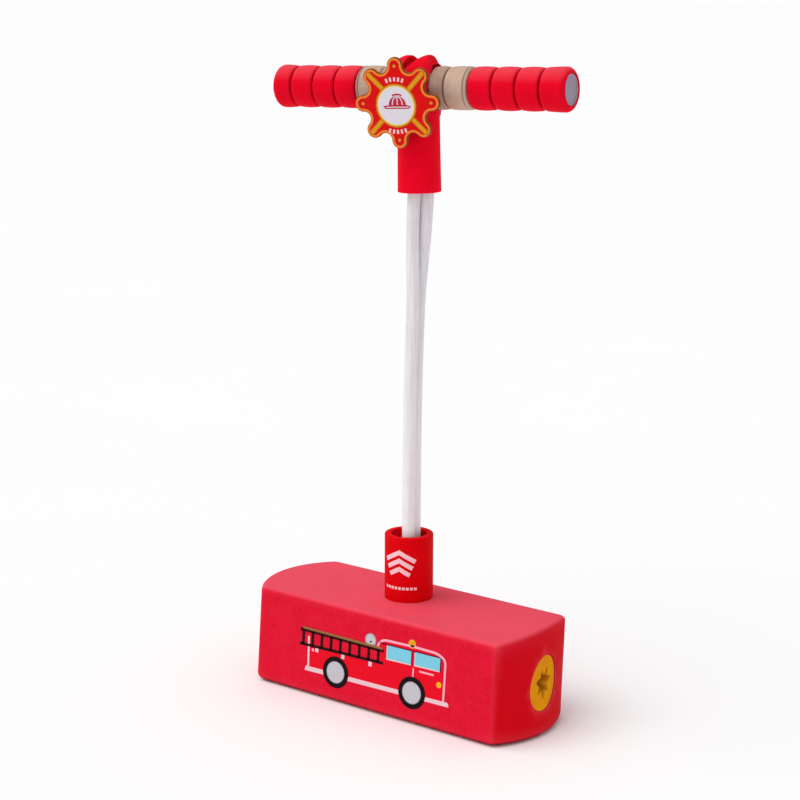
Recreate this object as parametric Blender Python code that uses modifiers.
"""A child's foam pogo jumper: a foam block to stand on, an elastic cord loop and a foam T handle.

Metres, +Z up, +X along the block to the rider's right seen from the front, front face at -Y.
The origin is the middle of the block's underside. Each object is one piece of the toy. The cord
is one endless loop: it is split into lengths, one for each way that it bends, stretches or twists.
"""

import math

import bmesh
import bpy
from mathutils import Matrix, Vector

MM = 0.001
GAP = 0.3 * MM  # air between pieces that touch
RING_STEPS = 24  # facets round a turned foam piece
SMALL_STEPS = 16  # facets round a small turned piece
ARC_STEPS = 2  # segments in the rounded edge of a turned piece
OUTLINE_STEPS = 4  # segments in an arc of a block, badge, flap or cord outline
MERGE = 0.01 * MM

# Foam block. Its flat front and back are upright. The foam is cut by hand, so its two bulged ends
# differ. Pairs are (at the foot, at the top).
BLOCK_HEIGHT = 85 * MM
BLOCK_FRONT = 50.5 * MM  # from the cord's middle to the printed front
BLOCK_BACK = 45.5 * MM
RIGHT_CORNERS = (120.5 * MM, 126 * MM)  # from the cord's middle to the upright corners of this end
LEFT_CORNERS = (123 * MM, 117 * MM)
RIGHT_BULGE = (18 * MM, 4.5 * MM)  # beyond the corners
LEFT_BULGE = (15 * MM, 18 * MM)
BLOCK_TOP_EDGE = 3.5 * MM
BLOCK_FOOT_EDGE = 8 * MM
BLOCK_CORNER = 4.5 * MM

# Cord: two strands of one loop, side by side.
STRAND_RADIUS = 5.2 * MM
STRAND_APART = STRAND_RADIUS + 0.2 * MM  # from the cord's middle to a strand's middle
STRAND_STEP = 11 * MM  # longest straight stretch along a strand
BORE_RADIUS = 14.5 * MM  # hole that the cord runs through in the block and the collar

# Collar on top of the block.
COLLAR_RADIUS = 20 * MM
COLLAR_RISE = 55 * MM
COLLAR_SINK = 20 * MM
COLLAR_EDGE = 1.2 * MM

# Well in the underside, with the cord's anchor.
WELL_RADIUS = 30 * MM
WELL_CEILING = 27.8 * MM
PLATE_THICKNESS = 4 * MM
ROD_RADIUS = 3 * MM
ROD_LENGTH = 50 * MM
CAP_THICKNESS = 3 * MM
CAP_SETBACK = 1.2 * MM

# Vent plugs and squeakers in the two ends of the block.
PLUG_RADIUS = 19.4 * MM
PLUG_THICKNESS = 9 * MM
PLUG_SETBACK = 3.6 * MM  # behind the crown of the bulged end
PLUG_HEIGHT = 41.8 * MM
STAR_OUTER = 10.5 * MM
STAR_INNER = 6.2 * MM
STAR_POINTS = 7
BULB_RADIUS = 18 * MM
BULB_LENGTH = 34 * MM
BULB_WALL = 2.2 * MM
REED_RADIUS = 6 * MM
REED_LENGTH = 13 * MM

# Handle: a T bar that stands above the collar, a little to the right, turned and tipped a little.
HANDLE_MIDDLE = Vector((8.0 * MM, 0, 503.2 * MM))
HANDLE_TURN = math.radians(8)
HANDLE_TIP = math.radians(1.2)  # right end up
LEFT_LENGTH = 126.5 * MM  # from the handle's middle to each end
RIGHT_LENGTH = 131 * MM
BAR_RADIUS = 6.5 * MM
BAR_WALL = 2 * MM
BAR_SHORT = 2.8 * MM  # the bar stops this far inside each end of the handle
RING_RADIUS = 16.8 * MM
END_RING_RADIUS = 17.4 * MM
RING_EDGE = 2.6 * MM
END_RING_EDGE = 4.5 * MM
RING_GAP = 0.4 * MM
RING_PITCH = 20.2 * MM
INNER_SPACER = (17.0 * MM, 29.0 * MM)  # its two faces, from the handle's middle
END_SOCKET = 12.3 * MM
END_SOCKET_DEPTH = 2.6 * MM
END_CAP_RADIUS = 12 * MM
END_CAP_THICKNESS = 1.6 * MM
END_CAP_STEM = 14 * MM

# Sleeve under the handle and the two flaps over the bar.
SLEEVE_RADIUS = 16.7 * MM
SLEEVE_BORE = 14.4 * MM
SLEEVE_FOOT = -81 * MM
SLEEVE_HEAD = -16.5 * MM
LOOP_RADIUS = BAR_RADIUS + GAP + STRAND_RADIUS + 0.05 * MM
FLAP_INNER = LOOP_RADIUS + STRAND_RADIUS + 0.35 * MM
FLAP_SIDE = 21 * MM
FLAP_TOP = 26 * MM
FLAP_FOOT = -14.5 * MM
FLAP_WIDTH = 16.2 * MM
FLAP_MIDDLE = 8.4 * MM

# Badge in front of the handle.
BADGE_DROP = 10.2 * MM
BADGE_FRONT = 33.5 * MM
BADGE_THICKNESS = 3 * MM
BADGE_TILT = math.radians(1)
BADGE_TURN = math.radians(6.2)  # towards the handle's right end
BADGE_LEAN = math.radians(6.3)  # top forwards
LOBES = 8
LOBE_PLACE = 28.8 * MM
LOBE_RADIUS = 6.4 * MM
VALLEY_PLACE = 30.7 * MM
SPACER_RADIUS = 9 * MM

# Cord heights: the two pairs of bends, the stretch and the twist.
COLLAR_TOP = BLOCK_HEIGHT + COLLAR_RISE
BEND_LEAN = COLLAR_TOP + 12 * MM
BEND_SWAY = BEND_LEAN + 24 * MM
SLEEVE_MOUTH = HANDLE_MIDDLE.z + SLEEVE_FOOT
BEND_PITCH = SLEEVE_MOUTH - 13.5 * MM
BEND_ROCK = BEND_PITCH - 20 * MM
CUT_TWIST = BEND_ROCK - 44 * MM
CUT_STRETCH = CUT_TWIST - 95 * MM
BEND_GAP = 3 * MM  # half the space that a bend needs
CUT_GAP = 0.6 * MM  # half the space at the stretch and the twist
CORD_FOOT_OFFSET = 1.7 * MM
CORD_BOW = 2.4 * MM  # how far the cord bows to the left between the collar and the sleeve
CORD_FOOT_TURN = math.radians(16)  # turn of the pair of strands, and of the rod, in the block
SPREAD_LOW = 28 * MM  # height over which the strands part to pass round the rod
SPREAD_HIGH = 34 * MM
TWIST_IN = (328 * MM, 424 * MM)  # the strands wrap a little round each other above the first height
TWIST_OUT = (426 * MM, 466 * MM)
TWIST_ANGLE = math.radians(52)


def clear_scene():
    for obj in list(bpy.data.objects):
        bpy.data.objects.remove(obj, do_unlink=True)


def new_collection(name, hidden=False):
    collection = bpy.data.collections.new(name)
    bpy.context.scene.collection.children.link(collection)
    collection.hide_render = hidden
    return collection


def linear(channel):
    """One display-colour channel, 0 to 255, as the linear value that a shader takes."""
    share = channel / 255
    if share <= 0.04045:
        return share / 12.92
    return ((share + 0.055) / 1.055) ** 2.4


def new_material(name, colour, roughness, metallic=0.0):
    material = bpy.data.materials.new(name)
    material.use_nodes = True
    shader = material.node_tree.nodes["Principled BSDF"]
    shader.inputs["Base Color"].default_value = [linear(c) for c in colour] + [1.0]
    shader.inputs["Roughness"].default_value = roughness
    shader.inputs["Metallic"].default_value = metallic
    material.diffuse_color = [linear(c) for c in colour] + [1.0]
    return material


def smoothstep(value, low, high):
    share = min(1.0, max(0.0, (value - low) / (high - low)))
    return share * share * (3 - 2 * share)


def add_object(name, mesh, material=None, collection=None, parent=None):
    """A new object in its collection. Without a material it is a cutter, drawn as wires only."""
    obj = bpy.data.objects.new(name, mesh)
    collection.objects.link(obj)
    obj.parent = parent
    if material:
        mesh.materials.append(material)
    else:
        obj.hide_render = True
        obj.display_type = "WIRE"
    return obj


def quarter(centre_r, centre_z, radius, start, end):
    """Points of an arc in a profile, from start to end degrees; 0 points outwards and 90 up."""
    points = []
    for i in range(ARC_STEPS + 1):
        angle = math.radians(start + (end - start) * i / ARC_STEPS)
        points.append((centre_r + radius * math.cos(angle), centre_z + radius * math.sin(angle)))
    return points


def turned(name, profile, steps, closed=False, **place):
    """A profile of (radius, height) points turned round Z. A closed profile makes a ring."""
    mesh = bpy.data.meshes.new(name)
    count = len(profile)
    edges = [(i, i + 1) for i in range(count - 1)]
    if closed:
        edges.append((count - 1, 0))
    mesh.from_pydata([(r, 0, z) for r, z in profile], edges, [])
    obj = add_object(name, mesh, **place)
    screw = obj.modifiers.new("turn", "SCREW")
    screw.axis = "Z"
    screw.angle = math.tau
    screw.steps = steps
    screw.render_steps = steps
    screw.use_merge_vertices = True
    screw.merge_threshold = MERGE
    screw.use_smooth_shade = True
    return obj


def ring_profile(inner, outer, low, high, low_edge, high_edge):
    """The closed profile of a ring: down its rounded outer side, then up its bore."""
    top = quarter(outer - high_edge, high - high_edge, high_edge, 90, 0)
    foot = quarter(outer - low_edge, low + low_edge, low_edge, 0, -90)
    return [(inner, high)] + top + foot + [(inner, low)]


def disc_profile(outer, low, high, edge):
    """The open profile of a solid disc with rounded edges, from the axis back to the axis."""
    top = quarter(outer - edge, high - edge, edge, 90, 0)
    foot = quarter(outer - edge, low + edge, edge, 0, -90)
    return [(0, high)] + top + foot + [(0, low)]


def flat_outline(name, outlines, thickness, **place):
    """A flat plate from closed outlines in X and Y; each further outline is a hole."""
    curve = bpy.data.curves.new(name, "CURVE")
    curve.dimensions = "2D"
    curve.fill_mode = "BOTH"
    curve.extrude = thickness / 2
    for outline in outlines:
        spline = curve.splines.new("POLY")
        spline.points.add(len(outline) - 1)
        for point, (x, y) in zip(spline.points, outline):
            point.co = (x, y, 0, 1)
        spline.use_cyclic_u = True
    return add_object(name, curve, **place)


def tube(name, path, radius, **place):
    """A round strand along a list of points."""
    curve = bpy.data.curves.new(name, "CURVE")
    curve.dimensions = "3D"
    curve.bevel_depth = radius
    curve.bevel_resolution = 2
    curve.use_fill_caps = True
    spline = curve.splines.new("POLY")
    spline.points.add(len(path) - 1)
    for point, place_at in zip(spline.points, path):
        point.co = (*place_at, 1)
    return add_object(name, curve, **place)


def cut(obj, cutter):
    boolean = obj.modifiers.new(cutter.name, "BOOLEAN")
    boolean.operation = "DIFFERENCE"
    boolean.solver = "EXACT"
    boolean.object = cutter


def end_sizes(side, height):
    """How far an end's corners stand out, and its bulge beyond them, at a height."""
    corners, bulges = (RIGHT_CORNERS, RIGHT_BULGE) if side > 0 else (LEFT_CORNERS, LEFT_BULGE)
    share = height / BLOCK_HEIGHT
    return (
        corners[0] + (corners[1] - corners[0]) * share,
        bulges[0] + (bulges[1] - bulges[0]) * share,
    )


def end_outline(reach, bulge, half_depth, corner):
    """A bulged end with round corners, from its front to its back, centred on X."""
    arc_radius = (half_depth**2 + bulge**2) / (2 * bulge)
    arc_x = reach + bulge - arc_radius
    corner_y = half_depth - corner
    corner_x = arc_x + math.sqrt((arc_radius - corner) ** 2 - corner_y**2)
    joint_angle = math.atan2(corner_y, corner_x - arc_x)
    front = []
    for i in range(OUTLINE_STEPS + 1):
        angle = -math.pi / 2 + (math.pi / 2 - joint_angle) * i / OUTLINE_STEPS
        front.append((corner_x + corner * math.cos(angle), -corner_y + corner * math.sin(angle)))
    end_steps = 3 * OUTLINE_STEPS
    for i in range(1, end_steps // 2):
        angle = -joint_angle + 2 * joint_angle * i / end_steps
        front.append((arc_x + arc_radius * math.cos(angle), arc_radius * math.sin(angle)))
    middle = (arc_x + arc_radius, 0.0)
    return front + [middle] + [(x, -y) for x, y in reversed(front)]


def block_outline(height, inset):
    """The block seen from above, anticlockwise: flat front and back, bulged ends, round corners."""
    half_depth = (BLOCK_FRONT + BLOCK_BACK) / 2 - inset
    middle = (BLOCK_BACK - BLOCK_FRONT) / 2
    points = []
    for side in (1, -1):
        reach, bulge = end_sizes(side, height)
        for x, y in end_outline(reach - inset, bulge, half_depth, BLOCK_CORNER):
            points.append((side * x, middle + side * y))
    return points


def block_levels():
    """(height, inset) of each level: a rounded foot edge, then a rounded top edge."""
    levels = []
    for i in range(OUTLINE_STEPS + 1):
        angle = math.pi / 2 * i / OUTLINE_STEPS
        rise = BLOCK_FOOT_EDGE * (1 - math.cos(angle))
        levels.append((rise, BLOCK_FOOT_EDGE * (1 - math.sin(angle))))
    for i in range(OUTLINE_STEPS + 1):
        angle = math.pi / 2 * i / OUTLINE_STEPS
        rise = BLOCK_TOP_EDGE * math.sin(angle)
        levels.append((BLOCK_HEIGHT - BLOCK_TOP_EDGE + rise, BLOCK_TOP_EDGE * (1 - math.cos(angle))))
    return levels


def block_mesh():
    """A loft from the foot outline up to the top outline."""
    body = bmesh.new()
    loops = []
    for height, inset in block_levels():
        loops.append([body.verts.new((x, y, height)) for x, y in block_outline(height, inset)])
    count = len(loops[0])
    for low, high in zip(loops, loops[1:]):
        for i in range(count):
            j = (i + 1) % count
            body.faces.new((low[i], low[j], high[j], high[i]))
    body.faces.new(list(reversed(loops[0])))
    body.faces.new(loops[-1])
    bmesh.ops.recalc_face_normals(body, faces=body.faces)
    mesh = bpy.data.meshes.new("base_block")
    body.to_mesh(mesh)
    body.free()
    mesh.shade_smooth()
    mesh.set_sharp_from_angle(angle=math.radians(40))
    return mesh


def end_crown(side, height):
    """How far the crown of the block's end stands from the cord's middle, at a height."""
    return sum(end_sizes(side, height))


def end_lean(side):
    """Angle by which the wall at an end leans in towards the top."""
    return math.atan2(end_crown(side, 0) - end_crown(side, BLOCK_HEIGHT), BLOCK_HEIGHT)


def end_frame(name, side, parts):
    """An empty at the crown of one end, its Z axis pointing straight out of the leaning wall."""
    frame = bpy.data.objects.new(name, None)
    parts.objects.link(frame)
    frame.location = (side * end_crown(side, PLUG_HEIGHT), 0, PLUG_HEIGHT)
    frame.rotation_euler = (0, side * (math.pi / 2 - end_lean(side)), 0)
    return frame


def well_cutter(cutters):
    """The cord's bore with the collar's socket above it and the anchor's well below it."""
    socket = BLOCK_HEIGHT - COLLAR_SINK - GAP
    beyond = 10 * MM
    profile = [
        (0, BLOCK_HEIGHT + beyond),
        (COLLAR_RADIUS + GAP, BLOCK_HEIGHT + beyond),
        (COLLAR_RADIUS + GAP, socket),
        (BORE_RADIUS, socket),
        (BORE_RADIUS, WELL_CEILING),
        (WELL_RADIUS, WELL_CEILING),
        (WELL_RADIUS, -beyond),
        (0, -beyond),
    ]
    return turned("cut_cord_well", profile, RING_STEPS, collection=cutters)


def end_cutter(name, frame, cutters):
    """The plug's recess with the squeaker's chamber behind it."""
    beyond = 12 * MM
    recess = -PLUG_SETBACK - PLUG_THICKNESS - GAP
    chamber = recess - REED_LENGTH / 2 - BULB_LENGTH - GAP
    profile = [
        (0, beyond),
        (PLUG_RADIUS + GAP, beyond),
        (PLUG_RADIUS + GAP, recess),
        (BULB_RADIUS + GAP, recess),
        (BULB_RADIUS + GAP, chamber),
        (0, chamber),
    ]
    return turned(name, profile, RING_STEPS, collection=cutters, parent=frame)


def star_outline():
    """A soft star: the radius swings between its inner and outer size once for each point."""
    steps = STAR_POINTS * 6
    middle = (STAR_OUTER + STAR_INNER) / 2
    swing = (STAR_OUTER - STAR_INNER) / 2
    points = []
    for i in range(steps):
        angle = math.tau * i / steps
        radius = middle + swing * math.cos(STAR_POINTS * angle)
        points.append((radius * math.cos(angle), radius * math.sin(angle)))
    return points


def circle_outline(radius, steps):
    return [
        (radius * math.cos(math.tau * i / steps), radius * math.sin(math.tau * i / steps))
        for i in range(steps)
    ]


def vent_plug(side, frame, material, parts):
    plug = flat_outline(
        f"vent_plug_{side}",
        [circle_outline(PLUG_RADIUS, RING_STEPS), star_outline()],
        PLUG_THICKNESS,
        material=material,
        collection=parts,
        parent=frame,
    )
    plug.location.z = -PLUG_SETBACK - PLUG_THICKNESS / 2


def squeaker(side, frame, bulb_material, reed_material, parts):
    """A soft bulb whose mouth holds a small reed, behind the plug."""
    mouth = -PLUG_SETBACK - PLUG_THICKNESS - GAP - REED_LENGTH / 2
    neck = REED_RADIUS + GAP
    shoulder = 9 * MM
    tail = mouth - BULB_LENGTH
    inner_radius = BULB_RADIUS - BULB_WALL
    profile = [(0, tail + BULB_WALL)]
    profile += quarter(inner_radius - shoulder, tail + BULB_WALL + shoulder, shoulder, -90, 0)
    profile += quarter(inner_radius - shoulder, mouth - BULB_WALL - shoulder, shoulder, 0, 60)
    profile += [(neck, mouth - BULB_WALL), (neck, mouth), (neck + BULB_WALL, mouth)]
    profile += quarter(BULB_RADIUS - shoulder, mouth - shoulder, shoulder, 60, 0)
    profile += quarter(BULB_RADIUS - shoulder, tail + shoulder, shoulder, 0, -90)
    profile += [(0, tail)]
    turned(
        f"squeaker_bulb_{side}",
        profile,
        SMALL_STEPS,
        material=bulb_material,
        collection=parts,
        parent=frame,
    )
    reed_high = mouth + REED_LENGTH / 2 - GAP
    reed_low = mouth - REED_LENGTH / 2
    reed = ring_profile(2.2 * MM, REED_RADIUS, reed_low, reed_high, 0.6 * MM, 0.6 * MM)
    turned(
        f"squeaker_reed_{side}",
        reed,
        SMALL_STEPS,
        closed=True,
        material=reed_material,
        collection=parts,
        parent=frame,
    )


def anchor(plate_material, rod_material, cap_material, parts):
    """Plate, rod and cap in the well under the block. The cord's loop hangs on the rod."""
    plate_top = WELL_CEILING - GAP
    plate_low = plate_top - PLATE_THICKNESS
    edge = 0.8 * MM
    turned(
        "anchor_plate",
        ring_profile(BORE_RADIUS, WELL_RADIUS - 2 * GAP, plate_low, plate_top, edge, edge),
        RING_STEPS,
        closed=True,
        material=plate_material,
        collection=parts,
    )
    rod = turned(
        "anchor_rod",
        disc_profile(ROD_RADIUS, -ROD_LENGTH / 2, ROD_LENGTH / 2, edge),
        SMALL_STEPS,
        material=rod_material,
        collection=parts,
    )
    rod.location = (0, 0, rod_height())
    rod.rotation_euler = (0, math.pi / 2, CORD_FOOT_TURN)
    turned(
        "bottom_cap",
        disc_profile(WELL_RADIUS - GAP, CAP_SETBACK, CAP_SETBACK + CAP_THICKNESS, edge),
        RING_STEPS,
        material=cap_material,
        collection=parts,
    )


def rod_height():
    return WELL_CEILING - GAP - PLATE_THICKNESS - GAP - ROD_RADIUS


def strand_turn(height):
    """Direction, seen from above, from the front strand to the rear one."""
    head_turn = HANDLE_TURN - CORD_FOOT_TURN + TWIST_ANGLE
    turn = math.pi / 2 + CORD_FOOT_TURN
    turn -= TWIST_ANGLE * smoothstep(height, *TWIST_IN)
    return turn + head_turn * smoothstep(height, *TWIST_OUT)


def cord_middle(height):
    """The cord's middle at a height: upright in the block, leaning a little up to the handle."""
    low = rod_height()
    tip_slope = -math.tan(HANDLE_TIP)
    if height <= COLLAR_TOP:
        return CORD_FOOT_OFFSET * smoothstep(height, low, COLLAR_TOP)
    high_offset = HANDLE_MIDDLE.x + (SLEEVE_MOUTH - HANDLE_MIDDLE.z) * tip_slope
    if height >= SLEEVE_MOUTH:
        return HANDLE_MIDDLE.x + (height - HANDLE_MIDDLE.z) * tip_slope
    share = (height - COLLAR_TOP) / (SLEEVE_MOUTH - COLLAR_TOP)
    bow = CORD_BOW * math.sin(math.pi * share)
    return CORD_FOOT_OFFSET + (high_offset - CORD_FOOT_OFFSET) * share - bow


def strand_point(height, side):
    """A point on one strand's middle line. side is -1 for the front strand and 1 for the rear."""
    rod_loop = ROD_RADIUS + GAP + STRAND_RADIUS
    low = rod_height()
    apart = rod_loop + (STRAND_APART - rod_loop) * smoothstep(height, low, low + SPREAD_LOW)
    bar = HANDLE_MIDDLE.z
    apart += (LOOP_RADIUS - STRAND_APART) * smoothstep(height, bar - SPREAD_HIGH, bar)
    turn = strand_turn(height)
    return (
        cord_middle(height) + side * apart * math.cos(turn),
        side * apart * math.sin(turn),
        height,
    )


def strand_run(low, high, side):
    """Points up one strand between two heights."""
    steps = max(1, math.ceil((high - low) / STRAND_STEP))
    return [strand_point(low + (high - low) * i / steps, side) for i in range(steps + 1)]


def half_turn(middle, radius, upwards):
    """Points of the bend between the two strands, without its two ends."""
    turn = strand_turn(middle[2])
    steps = 2 * OUTLINE_STEPS
    points = []
    for i in range(1, steps):
        angle = math.pi * i / steps
        across = radius * math.cos(angle)
        rise = radius * math.sin(angle) * (1 if upwards else -1)
        points.append(
            (middle[0] - across * math.cos(turn), middle[1] - across * math.sin(turn), middle[2] + rise)
        )
    return points


def cord(material, parts):
    """The loop's lower end, five lengths of two strands, and its upper end over the bar."""
    place = {"material": material, "collection": parts}
    low = rod_height()
    rod_loop = ROD_RADIUS + GAP + STRAND_RADIUS
    foot = half_turn((cord_middle(low), 0, low), rod_loop, upwards=False)
    front = strand_run(low, BEND_LEAN - BEND_GAP, -1)
    rear = strand_run(low, BEND_LEAN - BEND_GAP, 1)
    tube("cord_loop_lower", front[::-1] + foot + rear, STRAND_RADIUS, **place)
    lengths = [
        (BEND_LEAN + BEND_GAP, BEND_SWAY - BEND_GAP),
        (BEND_SWAY + BEND_GAP, CUT_STRETCH - CUT_GAP),
        (CUT_STRETCH + CUT_GAP, CUT_TWIST - CUT_GAP),
        (CUT_TWIST + CUT_GAP, BEND_ROCK - BEND_GAP),
        (BEND_ROCK + BEND_GAP, BEND_PITCH - BEND_GAP),
    ]
    for number, (start, end) in enumerate(lengths, 1):
        tube(f"cord_front_{number}", strand_run(start, end, -1), STRAND_RADIUS, **place)
        tube(f"cord_rear_{number}", strand_run(start, end, 1), STRAND_RADIUS, **place)
    bar = HANDLE_MIDDLE.z
    head = half_turn((cord_middle(bar), 0, bar), LOOP_RADIUS, upwards=True)
    front = strand_run(BEND_PITCH + BEND_GAP, bar, -1)
    rear = strand_run(BEND_PITCH + BEND_GAP, bar, 1)
    tube("cord_loop_upper", front + head + rear[::-1], STRAND_RADIUS, **place)


def handle_frame(parts):
    """An empty in the middle of the bar, its X axis along the bar towards the right end."""
    frame = bpy.data.objects.new("handle_frame", None)
    parts.objects.link(frame)
    frame.location = HANDLE_MIDDLE
    frame.rotation_euler = (0, -HANDLE_TIP, HANDLE_TURN)
    return frame


def handle_ring(name, start, end, side, is_end, material, frame, parts):
    """One foam ring on the bar. start and end are its faces, measured from the handle's middle."""
    inner = BAR_RADIUS + GAP
    low = start + RING_GAP / 2
    high = end - RING_GAP / 2
    if is_end:
        profile = ring_profile(inner, END_RING_RADIUS, low, end, RING_EDGE, END_RING_EDGE)
        bottom = end - END_SOCKET_DEPTH
        profile[0] = (END_SOCKET, end)
        profile += [(inner, bottom), (END_SOCKET, bottom)]
    else:
        profile = ring_profile(inner, RING_RADIUS, low, high, RING_EDGE, RING_EDGE)
    ring = turned(
        name, profile, RING_STEPS, closed=True, material=material, collection=parts, parent=frame
    )
    ring.rotation_euler = (0, side * math.pi / 2, 0)


def handle_side(word, side, length, red, tan, grey, frame, parts):
    """The spacer rings, grip rings and end cap of one side of the handle."""
    edges = list(INNER_SPACER) + [INNER_SPACER[1] + RING_PITCH * i for i in range(1, 5)]
    edges.append(length)
    names = [f"spacer_ring_{word}_{i}" for i in (1, 2)] + [f"grip_ring_{word}_{i}" for i in (1, 2, 3, 4)]
    for number, (name, start, end) in enumerate(zip(names, edges, edges[1:])):
        material = tan if number < 2 else red
        handle_ring(name, start, end, side, number == len(names) - 1, material, frame, parts)
    flange_low = length - END_SOCKET_DEPTH + GAP
    flange_high = flange_low + END_CAP_THICKNESS
    stem = BAR_RADIUS - BAR_WALL - GAP
    profile = disc_profile(END_CAP_RADIUS, flange_low, flange_high, 0.5 * MM)[:-1]
    profile += [(stem, flange_low), (stem, flange_low - END_CAP_STEM), (0, flange_low - END_CAP_STEM)]
    cap = turned(
        f"end_cap_{word}", profile, RING_STEPS, material=grey, collection=parts, parent=frame
    )
    cap.rotation_euler = (0, side * math.pi / 2, 0)


def handle_bar(material, frame, parts):
    low = BAR_SHORT - LEFT_LENGTH
    high = RIGHT_LENGTH - BAR_SHORT
    bar = turned(
        "handle_bar",
        ring_profile(BAR_RADIUS - BAR_WALL, BAR_RADIUS, low, high, 0.4 * MM, 0.4 * MM),
        SMALL_STEPS,
        closed=True,
        material=material,
        collection=parts,
        parent=frame,
    )
    bar.rotation_euler = (0, math.pi / 2, 0)


def flap_outline():
    """Side view of a flap: an arch over the bar that is thickest on top."""
    steps = 4 * OUTLINE_STEPS
    outer = [(FLAP_SIDE, FLAP_FOOT)]
    inner = [(-FLAP_INNER, FLAP_FOOT)]
    for i in range(steps + 1):
        angle = math.pi * i / steps
        outer.append((FLAP_SIDE * math.cos(angle), FLAP_TOP * math.sin(angle)))
        inner.append((-FLAP_INNER * math.cos(angle), FLAP_INNER * math.sin(angle)))
    outer.append((-FLAP_SIDE, FLAP_FOOT))
    inner.append((FLAP_INNER, FLAP_FOOT))
    return outer + inner


def sleeve_and_flaps(material, frame, parts):
    turned(
        "stem_sleeve",
        ring_profile(SLEEVE_BORE, SLEEVE_RADIUS, SLEEVE_FOOT, SLEEVE_HEAD, 0.8 * MM, 0.8 * MM),
        RING_STEPS,
        closed=True,
        material=material,
        collection=parts,
        parent=frame,
    )
    for word, side in (("left", -1), ("right", 1)):
        flap = flat_outline(
            f"sleeve_flap_{word}",
            [flap_outline()],
            FLAP_WIDTH,
            material=material,
            collection=parts,
            parent=frame,
        )
        flap.location.x = side * FLAP_MIDDLE
        flap.rotation_euler = (math.pi / 2, 0, math.pi / 2)


def badge_outline():
    """Eight round lobes joined by round valleys that meet them smoothly."""
    half_pitch = math.pi / LOBES
    valley = Vector((VALLEY_PLACE * math.cos(half_pitch), VALLEY_PLACE * math.sin(half_pitch)))
    lobe = Vector((LOBE_PLACE, 0))
    valley_radius = (valley - lobe).length - LOBE_RADIUS
    lobe_limit = math.atan2(valley.y, valley.x - lobe.x)
    valley_start = math.atan2(lobe.y - valley.y, lobe.x - valley.x)
    valley_middle = half_pitch - math.pi
    steps = OUTLINE_STEPS - 1
    points = []
    for i in range(-steps, steps + 1):
        angle = lobe_limit * i / steps
        points.append((lobe.x + LOBE_RADIUS * math.cos(angle), LOBE_RADIUS * math.sin(angle)))
    swing = valley_start - valley_middle
    for i in range(1, 2 * steps):
        angle = valley_start - swing * i / steps
        points.append(
            (valley.x + valley_radius * math.cos(angle), valley.y + valley_radius * math.sin(angle))
        )
    outline = []
    for lobe_number in range(LOBES):
        turn = Matrix.Rotation(math.tau * lobe_number / LOBES, 2)
        outline += [tuple(turn @ Vector(point)) for point in points]
    return outline


def badge(plate_material, spacer_material, frame, parts):
    plate = flat_outline(
        "badge_plate",
        [badge_outline()],
        BADGE_THICKNESS,
        material=plate_material,
        collection=parts,
        parent=frame,
    )
    plate.location = (0, BADGE_THICKNESS / 2 - BADGE_FRONT, -BADGE_DROP)
    plate.rotation_euler = (math.pi / 2 + BADGE_LEAN, -BADGE_TILT, BADGE_TURN)
    low = FLAP_SIDE + GAP
    slope = SPACER_RADIUS * math.tan(BADGE_TURN)  # room for the slanting plate at the spacer's rim
    slope += (SPACER_RADIUS - BADGE_DROP / 2) * math.tan(BADGE_LEAN)
    high = BADGE_FRONT - BADGE_THICKNESS - slope - GAP
    spacer = turned(
        "badge_spacer",
        disc_profile(SPACER_RADIUS, low, high, 0.8 * MM),
        RING_STEPS,
        material=spacer_material,
        collection=parts,
        parent=frame,
    )
    spacer.location.z = -BADGE_DROP / 2
    spacer.rotation_euler = (math.pi / 2, 0, 0)


def build():
    clear_scene()
    parts = new_collection("foam_pogo_jumper")
    cutters = new_collection("cutters", hidden=True)
    red = new_material("red_foam", (226, 22, 48), 0.75)
    tan = new_material("tan_foam", (205, 180, 160), 0.8)
    yellow = new_material("yellow_foam", (222, 160, 24), 0.7)
    vinyl = new_material("yellow_vinyl", (214, 150, 30), 0.4)
    rubber = new_material("elastic_cord", (214, 209, 217), 0.35)
    grey = new_material("grey_plastic", (196, 192, 208), 0.45)
    white = new_material("white_plastic", (235, 235, 232), 0.4)
    dark = new_material("dark_plastic", (60, 58, 62), 0.5)
    steel = new_material("plated_steel", (190, 190, 195), 0.3, metallic=1.0)

    block = add_object("base_block", block_mesh(), material=red, collection=parts)
    cut(block, well_cutter(cutters))
    collar = ring_profile(
        BORE_RADIUS, COLLAR_RADIUS, BLOCK_HEIGHT - COLLAR_SINK, COLLAR_TOP, COLLAR_EDGE, COLLAR_EDGE
    )
    turned("base_collar", collar, RING_STEPS, closed=True, material=red, collection=parts)
    for word, side in (("left", -1), ("right", 1)):
        frame = end_frame(f"end_frame_{word}", side, parts)
        cut(block, end_cutter(f"cut_end_{word}", frame, cutters))
        vent_plug(word, frame, yellow, parts)
        squeaker(word, frame, vinyl, dark, parts)
    anchor(white, steel, dark, parts)
    cord(rubber, parts)

    handle = handle_frame(parts)
    handle_bar(white, handle, parts)
    handle_side("left", -1, LEFT_LENGTH, red, tan, grey, handle, parts)
    handle_side("right", 1, RIGHT_LENGTH, red, tan, grey, handle, parts)
    sleeve_and_flaps(red, handle, parts)
    badge(red, red, handle, parts)


build()
